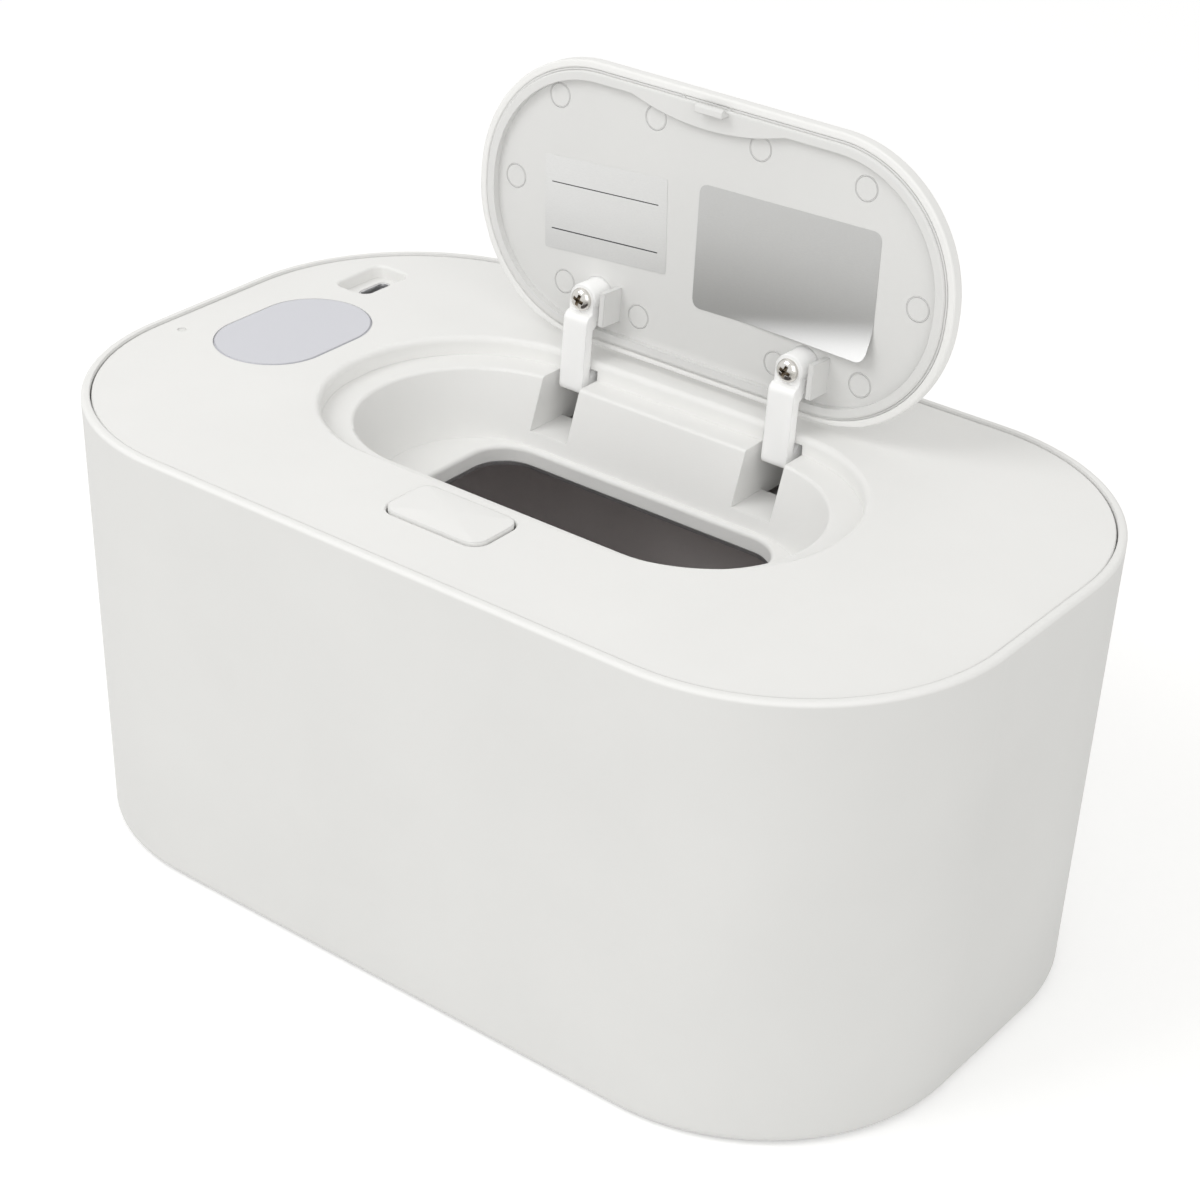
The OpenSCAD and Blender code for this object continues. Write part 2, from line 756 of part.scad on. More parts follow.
module usb_socket() {
    top = deck_z - socket_recess_d;
    color([0.72, 0.73, 0.75])
    translate([socket_at[0], socket_at[1], 0]) {
        difference() {
            slab(socket_slot[1] - 0.2, socket_slot[0] - 0.2, socket_slot[1] / 2 - 0.1,
                top - socket_h, top - 0.1);
            slab(socket_slot[1] - 0.8, socket_slot[0] - 0.8, socket_slot[1] / 2 - 0.4,
                top - socket_h + 0.9, top + cut);
        }
        translate([-0.35, 1.25 - socket_slot[0] / 2, top - socket_h + 0.8])
            cube([0.7, socket_slot[0] - 2.5, socket_h - 1.7]);
    }
}

module usb_board() {
    top = deck_z - socket_recess_d - socket_h;
    color([0.1, 0.4, 0.2])
    translate([socket_at[0], socket_at[1], 0])
        slab(usb_board_l, socket_slot[0] + usb_board_more, 3, top - board_t, top);
}

module latch_retainer() {
    color([0.85, 0.85, 0.84])
    difference() {
        union() {
            translate([well_x, (channel_y[0] + channel_y[1]) / 2, 0])
                slab(2 * retainer_x + retainer_more[0], channel_y[1] - channel_y[0] + retainer_more[1], 2,
                    retainer_z - 1.4, retainer_z);
            post(well_x, button_y, cup_r + cup_wall, cup_z - cup_wall, retainer_z - 0.5);
        }
        post(well_x, button_y, cup_r, cup_z, retainer_z + cut);
        for (s = [-1, 1])
            post(well_x + s * retainer_x, button_y, 1.25, retainer_z - 3, retainer_z + cut);
    }
}

module hinge_pin(s) {
    color([0.7, 0.7, 0.72])
    translate([well_x + s * arm_x, pin_y, pin_z])
        rotate([0, 90, 0])
            cylinder(r = pin_r, h = slot_w + 2 * bay_wall - 0.4, center = true);
}

module hinge_pin_left() { hinge_pin(-1); }
module hinge_pin_right() { hinge_pin(1); }

// Coil made of tilted half turns, with a flat half turn at each end
module coil(r, wire, length, n) {
    pitch = (length - 2 * wire) / (n + 0.5);
    tilt = atan(pitch / 4 / r);
    for (end = [0, 1])
        translate([0, 0, wire + end * (length - 2 * wire)]) {
            rotate([0, 0, 180])
                rotate_extrude(angle = 180, $fn = 32)
                    translate([r, 0])
                        circle(r = wire, $fn = 16);
            translate([end == 0 ? r : -r, 0, 0])
                sphere(r = wire * 1.15, $fn = 16);
        }
    for (i = [0 : 2 * n]) {
        side = i % 2 == 0 ? 1 : -1;
        translate([0, 0, wire + (i + 0.5) * pitch / 2])
            rotate([0, side * tilt, 0])
                rotate([0, 0, i % 2 == 0 ? 0 : 180])
                    rotate_extrude(angle = 180, $fn = 32)
                        translate([r / cos(tilt), 0])
                            circle(r = wire, $fn = 16);
        if (i < 2 * n)
            translate([-side * r, 0, wire + (i + 1) * pitch / 2])
                sphere(r = wire * 1.15, $fn = 16);
    }
}

module button_spring() {
    color([0.72, 0.72, 0.74])
    translate([well_x, button_y, spring_z - 0.2])
        coil(2, wire_r, stem_bottom - spring_z + 0.2, turns);
}

// Button and latch

module button_cap() {
    l = button_l - 2 * button_gap;
    w = button_w - 2 * button_gap;
    top = deck_z + button_proud;
    sag = 0.5;
    rx = (pow(l / 2, 2) + sag * sag) / (2 * sag);
    ry = (pow(w / 2, 2) + sag * sag) / (2 * sag);
    color([0.94, 0.94, 0.93])
    difference() {
        translate([well_x, button_y, 0]) {
            intersection() {
                slab(l, w, button_r - button_gap, button_foot, top + 1);
                translate([0, 0, top - rx])
                    rotate([90, 0, 0])
                        cylinder(r = rx, h = dome_l, center = true, $fn = 360);
                translate([0, 0, top - ry])
                    rotate([0, 90, 0])
                        cylinder(r = ry, h = dome_l, center = true, $fn = 360);
            }
            translate([-stem_size[0] / 2, -stem_size[1] / 2, stem_bottom])
                cube([stem_size[0], stem_size[1], under_z + 1 - stem_bottom]);
        }
        translate([well_x, button_y, cam_z])
            rotate([0, 90, 0])
                cylinder(r = cam_pin_r + cam_pin_fit, h = channel_w, center = true);
    }
}

module button_pin() {
    color([0.7, 0.7, 0.72])
    translate([well_x, button_y, cam_z])
        rotate([0, 90, 0])
            cylinder(r = cam_pin_r, h = channel_w - 0.2, center = true);
}

module latch_slider() {
    back = channel_y[1] - 0.5;
    front = channel_y[0] + travel + 0.5;
    w = channel_w / 2;
    color([0.86, 0.86, 0.85])
    difference() {
        union() {
            // two cheeks, joined at the front and by the riser
            for (s = [-1, 1])
                translate([well_x + s * (w - cheek_t / 2) - cheek_t / 2, front, slider_z])
                    cube([cheek_t, back - front, slider_h]);
            translate([well_x - w, front, slider_z])
                cube([2 * w, 2, 3]);
            translate([well_x - w, back - 2, slider_z])
                cube([2 * w, 2, slider_h]);
            along_x(well_x - tongue_w / 2, well_x + tongue_w / 2)
                polygon([[back - 2, slider_z], [back, slider_z],
                    [back, tongue_top - tongue_t], [tongue_tip, tongue_top - tongue_t],
                    [tongue_tip, tongue_top - 0.6], [tongue_tip - 0.6, tongue_top],
                    [back - 2, tongue_top]]);
        }
        // sloping cam slots for the button's pin
        translate([0, button_y, cam_z])
            along_x(well_x - 10, well_x + 10)
                union() {
                    circle(r = 1.1);
                    translate([travel, -travel])
                        circle(r = 1.1);
                    rotate(-45)
                        translate([0, -1.1])
                            square([travel * sqrt(2), 2.2]);
                }
    }
}

// Lid, drawn closed and then opened

// What the recess edge sweeps round the hinge, so that the lid's rear edge clears it
module recess_sweep() {
    turns_at = [0, 12, 24, 36, 48, 60];
    function out(t) = recess_l / 2 - recess_r + recess_r * sin(t);
    function reach(t) = sqrt(pow(pin_back + recess_r * (1 - cos(t)), 2) + pow(pin_drop, 2)) + 0.35;
    side = [for (t = turns_at) [reach(t), out(t)]];
    other = [for (i = [5 : -1 : 0]) [side[i][0], -side[i][1]]];
    translate([well_x, pin_y, pin_z])
        rotate([0, 90, 0])
            rotate_extrude()
                polygon(concat([[0, -out(60)]], other, side, [[0, out(60)]]));
}

module lid_cover() {
    color([0.93, 0.93, 0.92])
    opened()
        difference() {
            at_well()
                slab(lid_l, lid_w, lid_r, lid_bottom_z, deck_z);
            at_well() {
                slab(lid_l - 2 * lid_rim, lid_w - 2 * lid_rim, lid_r - lid_rim,
                    lid_bottom_z - cut, liner_top_z);
                round_edge(lid_l, lid_w, lid_r, deck_z, lid_round, -1);
                round_low(lid_l, lid_w, lid_r, lid_bottom_z, liner_round, -1);
                round_low(lid_l - 2 * lid_rim, lid_w - 2 * lid_rim, lid_r - lid_rim,
                    lid_bottom_z, liner_round);
            }
            recess_sweep();
        }
}

module lid_liner() {
    lens_r = (pad_chord * pad_chord + pad_bulge * pad_bulge) / (2 * pad_bulge);
    edge_y = well_y - lid_w / 2 + liner_in + liner_rim;
    color([0.88, 0.88, 0.87])
    opened()
        difference() {
            union() {
                difference() {
                    at_well() {
                        slab(lid_l - 2 * liner_in, lid_w - 2 * liner_in, lid_r - liner_in,
                            liner_bottom_z, liner_top_z);
                        // flange that makes the groove's bottom
                        slab(lid_l - 2 * (lid_rim + 0.1), lid_w - 2 * (lid_rim + 0.1),
                            lid_r - lid_rim - 0.1, lid_bottom_z + groove_depth, liner_top_z);
                    }
                    difference() {
                        at_well()
                            slab(lid_l - 2 * (liner_in + liner_rim), lid_w - 2 * (liner_in + liner_rim),
                                lid_r - liner_in - liner_rim, liner_bottom_z - cut, panel_z);
                        // the lens-shaped pad beside the hook
                        post(well_x + pad_shift, edge_y + pad_bulge - lens_r, lens_r,
                            liner_bottom_z, panel_z + 1);
                    }
                }
                // screw bosses and the ribs beside them
                for (s = [-1, 1]) {
                    post(well_x + s * arm_x, boss_y, boss_r, pin_z - pad_in, panel_z + eps);
                    translate([well_x + s * arm_x + 4.9, boss_y - 2.9, deck_z - 8.3])
                        cube([1.3, 7.8, panel_z - deck_z + 8.3 + eps]);
                }
                // hook for the latch
                along_x(well_x - hook_w / 2, well_x + hook_w / 2)
                    polygon([[hook_y, liner_bottom_z + eps], [hook_y, hook_top],
                        [hook_y - grip - 0.2, hook_top], [hook_y - grip - 0.2, hook_top - 0.5],
                        [hook_y - grip + 0.4, hook_top - hook_t], [hook_y + 1, hook_top - hook_t],
                        [hook_y + 1, liner_bottom_z + eps]]);
            }
            at_well()
                round_low(lid_l - 2 * liner_in, lid_w - 2 * liner_in, lid_r - liner_in,
                    liner_bottom_z, liner_round, -1);
            for (s = [-1, 1])
                post(well_x + s * arm_x, boss_y, screw_r + 0.02, pin_z - pad_in - cut, panel_z + 0.3);
        }
}

module hinge_arm(s) {
    xc = well_x + s * arm_x;
    color([0.95, 0.95, 0.95])
    opened()
        difference() {
            union() {
                along_x(xc - arm_w / 2, xc + arm_w / 2)
                    translate([pin_y, pin_z])
                        union() {
                            circle(r = eye_r);
                            // web from the eye down to the blade's heel
                            polygon([[-0.9, -1.7], [1.4, -blade_in - 0.5], [4.6, -blade_in - 0.5],
                                [4.6, -blade_in + 0.4], [1.95, 0.5], [0, 0]]);
                            // blade, with a round head and a round heel
                            translate([blade_top + head_r, head_r - blade_out])
                                circle(r = head_r);
                            translate([blade_top + head_r, -blade_out])
                                square([3 - blade_top - head_r, arm_t]);
                            translate([3, -blade_out + 1.6])
                                circle(r = 1.6);
                            translate([2.9, -blade_out + 1.6])
                                square([1.7, arm_t - 1.6 + 0.2]);
                            // pad that the screw holds against the lid's boss
                            translate([boss_rel, -pad_out])
                                square([blade_top + head_r - boss_rel, pad_out - pad_in]);
                        }
                post(xc, boss_y, arm_w / 2, pin_z - pad_out, pin_z - pad_in);
            }
            translate([xc, pin_y, pin_z])
                rotate([0, 90, 0])
                    cylinder(r = pin_r + pin_fit, h = arm_w + cut, center = true);
            post(xc, boss_y, screw_r + 0.15, pin_z - pad_out - cut, pin_z - pad_in + cut);
        }
}

module hinge_arm_left() { hinge_arm(-1); }
module hinge_arm_right() { hinge_arm(1); }

module lid_screw(s) {
    top = pin_z - pad_out;
    color([0.8, 0.8, 0.82])
    opened()
        translate([well_x + s * arm_x, boss_y, 0])
            difference() {
                union() {
                    post(0, 0, screw_r, top - 0.1, panel_z + 0.1);
                    post(0, 0, screw_head_r, top - 0.8, top);
                    translate([0, 0, top - 0.8 + eps])
                        rotate([180, 0, 0])
                            cylinder(r1 = screw_head_r, r2 = screw_head_r - 0.8, h = 0.7);
                }
                for (a = [0, 90])
                    rotate([0, 0, a])
                        translate([-1.5, -0.3, top - 2])
                            cube([3, 0.6, 1.5]);
            }
}

module lid_screw_left() { lid_screw(-1); }
module lid_screw_right() { lid_screw(1); }

module label(at, size, a, r) {
    color([0.8, 0.8, 0.8])
    opened()
        translate([well_x + at[0], well_y + at[1], 0])
            rotate([0, 0, a])
                slab(size[0], size[1], r, panel_z - 0.15, panel_z);
}

module label_left() { label(label_a_at, label_a_size, -4, 0.5); }
module label_right() { label(label_b_at, label_b_size, -1.5, 2); }

outer_shell();
inner_tub();
insulation_sleeve();
foot_front_left();
foot_front_right();
foot_rear_left();
foot_rear_right();
top_cover();
inner_cover();
heat_plate();
heater_film();
cover_screws();
thermal_fuse();
thermistor();
display_window();
display_module();
control_board();
indicator_pipe();
usb_socket();
usb_board();
latch_retainer();
hinge_pin_left();
hinge_pin_right();
button_spring();
button_cap();
button_pin();
latch_slider();
lid_cover();
lid_liner();
hinge_arm_left();
hinge_arm_right();
lid_screw_left();
lid_screw_right();
label_left();
label_right();
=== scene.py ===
import math
import bmesh
import bpy
from mathutils import Matrix, Vector


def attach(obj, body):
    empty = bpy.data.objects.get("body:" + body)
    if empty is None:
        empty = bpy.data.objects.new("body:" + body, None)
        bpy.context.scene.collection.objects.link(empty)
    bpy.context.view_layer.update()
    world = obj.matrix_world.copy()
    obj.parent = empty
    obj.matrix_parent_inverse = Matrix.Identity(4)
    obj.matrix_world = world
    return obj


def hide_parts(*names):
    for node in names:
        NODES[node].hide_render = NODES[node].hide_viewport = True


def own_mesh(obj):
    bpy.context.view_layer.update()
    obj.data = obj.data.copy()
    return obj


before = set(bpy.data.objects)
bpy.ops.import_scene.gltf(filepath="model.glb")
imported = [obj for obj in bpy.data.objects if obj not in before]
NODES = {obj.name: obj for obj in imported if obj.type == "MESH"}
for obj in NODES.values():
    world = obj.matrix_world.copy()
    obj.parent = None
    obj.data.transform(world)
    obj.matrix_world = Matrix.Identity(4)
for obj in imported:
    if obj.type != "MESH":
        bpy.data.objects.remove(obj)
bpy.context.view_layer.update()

MM = 0.001

# Sizes in millimetres and degrees, as the part's solids have them
WELL_X, WELL_Y = -0.6, 0.5
PIN_Y, PIN_Z, LID_ANGLE = 36.8, 99.0, 93.5
PANEL_Z, GROOVE_Z = 100.1, 99.6
LID_L, LID_W, LID_R = 122.6, 63.2, 30.8
LID_RIM, GROOVE_W = 1.8, 0.5
ARM_X, BOSS_Y = 27.2, 19.9
SCREW_Z, BOSS_R = 94.2, 3.4

# What the scene adds to them, in millimetres and degrees, drawn on the closed lid
LEFT_AT, LEFT_SIZE, LEFT_TURN, LEFT_CORNER = (-27.6, 1.6), (33, 21), -4.4, 0.5
RIGHT_AT, RIGHT_SIZE, RIGHT_TURN, RIGHT_CORNER = (19.4, 1.6), (45.2, 27.4), -1.5, 2
FILM_T, FILM_GAP = 0.05, 0.02
FOLD_U, FOLD_V = 0.40, 0.78
FOLD_PER_U, FOLD_PER_V = 9.8, 26.7
FOLD_EARLY, FOLD_ROUND, FOLD_SLOPE = 2.0, 3.0, 0.55
CREASE_BEFORE, CREASE_AFTER = 4, 5
RULES_TURN, INK_T = -4, 0.015
RULES = ((-14.6, 14.2, -4.5, 0.22), (-14.6, 14.2, 6.0, 0.26))
MARK_R, MARK_W, MARK_H, MARK_SINK = 2.6, 0.26, 0.018, 0.014
MARKS_AT = ((-41.9, -21.3), (-52.6, -0.5), (-37.3, 19.9), (-16.6, 22.2), (-16.3, -22.5), (10.5, -22.5),
            (36.6, -20.8), (51.8, 0.6), (40.6, 20.6), (19.4, 22.2))
RIBS_X, RIB_Y, RIB_Z, RIB_W, RIB_ROUND = (-9.0, 2.7), (-29.4, -28.7), (98.95, 99.7), 1.0, 0.2
BAND_RISE, SINK = 0.42, 0.02
HEAD_TURN = 18


def opened(p):
    """A point of the closed lid, in millimetres, carried to the open lid."""
    a = math.radians(-LID_ANGLE)
    y, z = p[1] - PIN_Y, p[2] - PIN_Z
    return (p[0], PIN_Y + y * math.cos(a) - z * math.sin(a), PIN_Z + y * math.sin(a) + z * math.cos(a))


def turned(x, y, degrees, at=(0, 0)):
    """A point turned about the origin and then moved."""
    a = math.radians(degrees)
    return at[0] + x * math.cos(a) - y * math.sin(a), at[1] + x * math.sin(a) + y * math.cos(a)


# The line past which the right label's corner has come away, from its top edge to its right edge; past it
# the film's tone is painted lighter, a painted highlight on the lifted corner.

def label_point(u, v):
    x, y = turned((u - 0.5) * RIGHT_SIZE[0], (v - 0.5) * RIGHT_SIZE[1], RIGHT_TURN, RIGHT_AT)
    return Vector(opened((x, y, PANEL_Z))) * MM


fold_start, fold_end, corner = label_point(FOLD_U, 1), label_point(1, FOLD_V), label_point(1, 1)
along_fold = (fold_end - fold_start).normalized()
ACROSS = ((corner - fold_start) - (corner - fold_start).dot(along_fold) * along_fold).normalized()
CREASE = fold_start.dot(ACROSS)


# Node materials

CLOUDS, GRAIN, GRAIN_DEPTH, LINES_DEPTH = 22.0, 2600.0, 0.0002, 0.00003
MILKY_REACH = (0.004, 0.004, 0.004)


def connect(tree, target, inputs):
    """Each input of a node takes a value or another node's output."""
    for key, value in inputs.items():
        if isinstance(value, bpy.types.NodeSocket):
            tree.links.new(value, target.inputs[key])
        else:
            target.inputs[key].default_value = value


def shader(tree, kind, inputs, **settings):
    made = tree.nodes.new("ShaderNode" + kind)
    for key, value in settings.items():
        setattr(made, key, value)
    connect(tree, made, inputs)
    return made


def clear_material(name):
    mat = bpy.data.materials.new(name)
    mat.use_nodes = True
    tree = mat.node_tree
    tree.nodes.clear()
    bsdf = shader(tree, "BsdfPrincipled", {})
    shader(tree, "OutputMaterial", {"Surface": bsdf.outputs["BSDF"]})
    return mat, tree, bsdf


def object_coords(tree):
    return shader(tree, "TexCoord", {}).outputs["Object"]


def height(tree, coords):
    return shader(tree, "SeparateXYZ", {"Vector": coords}).outputs["Z"]


def noise(tree, coords, scale, detail, rough=0.55):
    inputs = {"Vector": coords, "Scale": scale, "Detail": detail, "Roughness": rough}
    return shader(tree, "TexNoise", inputs).outputs["Fac"]


def ramp(tree, source, stops):
    made = shader(tree, "ValToRGB", {"Fac": source})
    for element, (at, value) in zip(made.color_ramp.elements, stops):
        element.position = at
        element.color = (*value, 1.0)
    return made.outputs["Color"]


def smooth_step(tree, value, start, end, first=0.0):
    """First up to start, 1 from end on, and a smooth step between them."""
    inputs = {"Value": value, "From Min": start, "From Max": end, "To Min": first}
    return shader(tree, "MapRange", inputs, interpolation_type="SMOOTHSTEP").outputs["Result"]


def mixed(tree, share, first, second):
    return shader(tree, "Mix", {0: share, 6: first, 7: second}, data_type="RGBA").outputs[2]


def relief(tree, grain, strength, depth, bevel=0.0):
    """A fine bump, over softened edges where bevel has a radius."""
    inputs = {"Height": grain, "Strength": strength, "Distance": depth}
    if bevel:
        inputs["Normal"] = shader(tree, "Bevel", {"Radius": bevel}, samples=6).outputs["Normal"]
    return shader(tree, "Bump", inputs).outputs["Normal"]


def grey(v):
    return (v, v, v)


def plastic(name, color, rough, bump, bevel, tint=0.012, glow=0.0, painted_glow=0.0, painted_top_light=None):
    """Moulded plastic: cloudy tone, fine spark-eroded grain, softened edges, perhaps a paler top rim that
    is a painted highlight, and perhaps a painted glow by emission.
    """
    mat, tree, bsdf = clear_material(name)
    coords = object_coords(tree)
    tone = ramp(tree, noise(tree, coords, CLOUDS, 3.0),
                [(0.3, [max(c - tint, 0) for c in color]), (0.7, [min(c + tint, 1) for c in color])])
    # A paler band at the top of the part: a painted highlight where the light from above falls.
    if painted_top_light:
        start, end, edge = painted_top_light
        tone = mixed(tree, smooth_step(tree, height(tree, coords), start, end), tone, (*edge, 1.0))
    fine = noise(tree, coords, GRAIN, 2.0)
    gloss = ramp(tree, fine, [(0.25, grey(max(rough - 0.05, 0.02))), (0.75, grey(rough + 0.05))])
    connect(tree, bsdf, {"Base Color": tone, "Roughness": gloss,
                         "Normal": relief(tree, fine, bump, GRAIN_DEPTH, bevel)})
    # Emission here is a painted glow, not a lamp.
    if painted_glow:
        connect(tree, bsdf, {"Emission Color": (*color, 1.0), "Emission Strength": painted_glow})
    if glow:
        connect(tree, bsdf, {"Subsurface Weight": glow, "Subsurface Radius": MILKY_REACH,
                             "Subsurface Scale": 0.4})
    return mat


def metal(name, color, rough, stretch=(40.0, 1.0, 1.0), scale=900.0, bevel=0.0002, depth=0.2, streak=0.86,
          painted_height_shade=None, raised_painted_light=None):
    """Worked metal with fine directional lines, and a tone that can be painted darker towards the bottom, a
    painted shade, and painted lighter past a line, a painted highlight.
    """
    mat, tree, bsdf = clear_material(name)
    coords = object_coords(tree)
    stretched = shader(tree, "Mapping", {"Vector": coords, "Scale": stretch}).outputs["Vector"]
    lines = noise(tree, stretched, scale, 2.0)
    tone = ramp(tree, lines, [(0.3, [c * streak for c in color]), (0.7, color)])
    # Darker towards the bottom: painted shade.
    if painted_height_shade:
        start, end, first = painted_height_shade
        share = smooth_step(tree, height(tree, coords), start, end, first)
        tone = shader(tree, "VectorMath", {0: tone, "Scale": share}, operation="SCALE").outputs["Vector"]
    # Past the line the tone turns to a flat lighter one: a painted highlight.
    if raised_painted_light:
        across, start, end, flat = raised_painted_light
        past = shader(tree, "VectorMath", {0: coords, 1: across}, operation="DOT_PRODUCT").outputs["Value"]
        tone = mixed(tree, smooth_step(tree, past, start, end), tone, (*flat, 1.0))
    gloss = ramp(tree, lines, [(0.3, grey(rough + 0.06)), (0.7, grey(max(rough - 0.05, 0.03)))])
    connect(tree, bsdf, {"Base Color": tone, "Roughness": gloss, "Metallic": 1.0,
                         "Normal": relief(tree, lines, depth, LINES_DEPTH, bevel)})
    return mat


def speckled(name, base, dots, scale, rough, bump):
    """Foam or rubber: a grainy matt surface in two tones."""
    mat, tree, bsdf = clear_material(name)
    grain = noise(tree, object_coords(tree), scale, 6.0, 0.7)
    connect(tree, bsdf, {"Base Color": ramp(tree, grain, [(0.35, base), (0.65, dots)]), "Roughness": rough,
                         "Normal": relief(tree, grain, bump, GRAIN_DEPTH)})
    return mat


WHITE = (0.84, 0.838, 0.826)
M = {
    # The shell is the deck's white painted darker, a painted shade on its sides, with its top rim painted
    # back to white, a painted highlight.
    "shell": plastic("shell_white_painted_shade", (0.715, 0.714, 0.702), 0.6, 0.08, 0.0006,
                     painted_top_light=(0.1016, 0.1024, WHITE)),
    "deck": plastic("deck_white_moulded", WHITE, 0.62, 0.10, 0.0003),
    "lid": plastic("lid_white_moulded", (0.85, 0.848, 0.836), 0.58, 0.06, 0.0003),
    "liner": plastic("liner_white_moulded", (0.725, 0.724, 0.714), 0.5, 0.08, 0.0003),
    # The arms' emission is a painted glow that brightens them; the milky subsurface is their own.
    "arm": plastic("arm_milky_painted_glow", (0.93, 0.93, 0.925), 0.38, 0.04, 0.0005, glow=0.25, painted_glow=0.05),
    "button": plastic("button_white_moulded", WHITE, 0.52, 0.05, 0.0006),
    "inner": plastic("inner_white_moulded", (0.75, 0.75, 0.74), 0.5, 0.05, 0.0003),
    "tub": plastic("tub_grey_moulded", (0.815, 0.772, 0.768), 0.5, 0.10, 0.0006, tint=0.01),
    "film": plastic("film_amber", (0.55, 0.24, 0.05), 0.25, 0.02, 0.0001, tint=0.03),
    "fuse": plastic("fuse_ceramic", (0.66, 0.62, 0.55), 0.6, 0.1, 0.0002, tint=0.03),
    "black": plastic("sensor_black", (0.02, 0.02, 0.022), 0.5, 0.1, 0.0002, tint=0.004),
    "window": plastic("window_lilac_grey", (0.635, 0.64, 0.685), 0.38, 0.004, 0.0004, tint=0.004),
    "board": plastic("board_green", (0.02, 0.13, 0.05), 0.35, 0.05, 0.0001, tint=0.01),
    "pipe": plastic("pipe_milky", (0.78, 0.78, 0.76), 0.3, 0.02, 0.0002, glow=0.3),
    "ink": plastic("ink_dark", (0.03, 0.03, 0.035), 0.6, 0.02, 0.00005, tint=0.005),
    "foam": speckled("sleeve_foam", (0.52, 0.53, 0.55), (0.66, 0.67, 0.69), 900.0, 0.8, 0.4),
    "rubber": speckled("foot_rubber", (0.02, 0.02, 0.021), (0.045, 0.045, 0.046), 1500.0, 0.75, 0.2),
    "plate": metal("plate_brushed", (0.55, 0.55, 0.56), 0.42),
    "steel": metal("steel_plated", (0.60, 0.61, 0.63), 0.28, (1.0, 30.0, 30.0)),
    "socket": metal("socket_steel_bright", (0.85, 0.85, 0.86), 0.38, (1.0, 30.0, 30.0)),
    "screw": metal("screw_nickel", (0.72, 0.70, 0.665), 0.12, (8.0, 8.0, 8.0), depth=0.1),
    # The recess metal is the screw's nickel painted dark brown-grey: painted shade in the cross recess.
    "recess": metal("screw_recess_painted_shade", (0.30, 0.26, 0.21), 0.25, (8.0, 8.0, 8.0), bevel=0.00005,
                    depth=0.1),
    # Both labels are painted darker towards the bottom: painted shade.
    "label_left": metal("label_silver_light", (0.765, 0.765, 0.755), 0.5, (1.0, 1.0, 9.0), 1500.0, 0.00003,
                        0.05, 0.97, painted_height_shade=(0.117, 0.137, 0.88)),
    # The right label's lifted corner is painted a lighter flat tone, a painted highlight.
    "label_right": metal("label_silver_film", (0.595, 0.595, 0.587), 0.42, (1.0, 1.0, 9.0), 1500.0, 0.00003,
                         0.05, 0.97, painted_height_shade=(0.117, 0.142, 0.76),
                         raised_painted_light=(ACROSS, CREASE - CREASE_BEFORE * MM, CREASE + CREASE_AFTER * MM,
                                 (0.64, 0.64, 0.635))),
}

PAINT = {
    "shell": ["outer_shell"],
    "deck": ["top_cover"],
    "lid": ["lid_cover"],
    "liner": ["lid_liner"],
    "arm": ["hinge_arm_left", "hinge_arm_right"],
    "button": ["button_cap"],
    "inner": ["latch_retainer", "latch_slider"],
    "tub": ["inner_tub", "inner_cover"],
    "film": ["heater_film"],
    "fuse": ["thermal_fuse"],
    "black": ["thermistor", "display_module"],
    "window": ["display_window"],
    "board": ["control_board", "usb_board"],
    "pipe": ["indicator_pipe"],
    "foam": ["insulation_sleeve"],
    "rubber": ["foot_front_left", "foot_front_right", "foot_rear_left", "foot_rear_right"],
    "plate": ["heat_plate"],
    "steel": ["cover_screws", "hinge_pin_left", "hinge_pin_right", "button_spring", "button_pin"],
    "socket": ["usb_socket"],
    "screw": ["lid_screw_left", "lid_screw_right"],
    "label_left": ["label_left"],
    "label_right": ["label_right"],
}


def paint(solid, mat):
    if not solid.data.materials:
        solid.data.materials.append(mat)
    for i in range(len(solid.data.materials)):
        solid.data.materials[i] = mat
    for s in solid.material_slots:
        s.material = mat


for key, names in PAINT.items():
    for solid_name in names:
        paint(NODES[solid_name], M[key])


# Mesh helpers

def placed(name, mesh):
    ob = bpy.data.objects.new(name, mesh)
    bpy.context.scene.collection.objects.link(ob)
    return ob


def piece(name, shape, mat, body, smooth=True):
    verts, faces = shape
    mesh = bpy.data.meshes.new(name)
    mesh.from_pydata([tuple(c * MM for c in v) for v in verts], [], faces)
    mesh.materials.append(mat)
    for p in mesh.polygons:
        p.use_smooth = smooth
    mesh.update()
    ob = placed(name, mesh)
    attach(ob, body)
    return ob


def sharpen(mesh, degrees):
    """Keeps edges sharp that turn by more than this."""
    bm = bmesh.new()
    bm.from_mesh(mesh)
    for e in bm.edges:
        e.smooth = not (len(e.link_faces) == 2 and e.calc_face_angle(0) > math.radians(degrees))
    bm.to_mesh(mesh)
    bm.free()


def face_outward(mesh):
    bm = bmesh.new()
    bm.from_mesh(mesh)
    bmesh.ops.recalc_face_normals(bm, faces=bm.faces)
    bm.to_mesh(mesh)
    bm.free()


def rounded(l, w, r, n):
    """Points of a rounded rectangle about the origin, anticlockwise."""
    pts = []
    for cx, cy, a0 in ((l / 2 - r, w / 2 - r, 0), (-l / 2 + r, w / 2 - r, 90),
                       (-l / 2 + r, -w / 2 + r, 180), (l / 2 - r, -w / 2 + r, 270)):
        for i in range(n + 1):
            pts.append(turned(r, 0, a0 + 90 * i / n, (cx, cy)))
    return pts


def joined(shapes):
    """One list of points and one of faces from several."""
    verts, faces = [], []
    for v, f in shapes:
        faces += [[i + len(verts) for i in q] for q in f]
        verts += v
    return verts, faces


def walls(n, loops, ring):
    """Faces between loops of n points, back to the first loop where they form a ring."""
    faces = []
    for k in range(loops if ring else loops - 1):
        q = (k + 1) % loops
        for i in range(n):
            j = (i + 1) % n
            faces.append([k * n + i, k * n + j, q * n + j, q * n + i])
    return faces


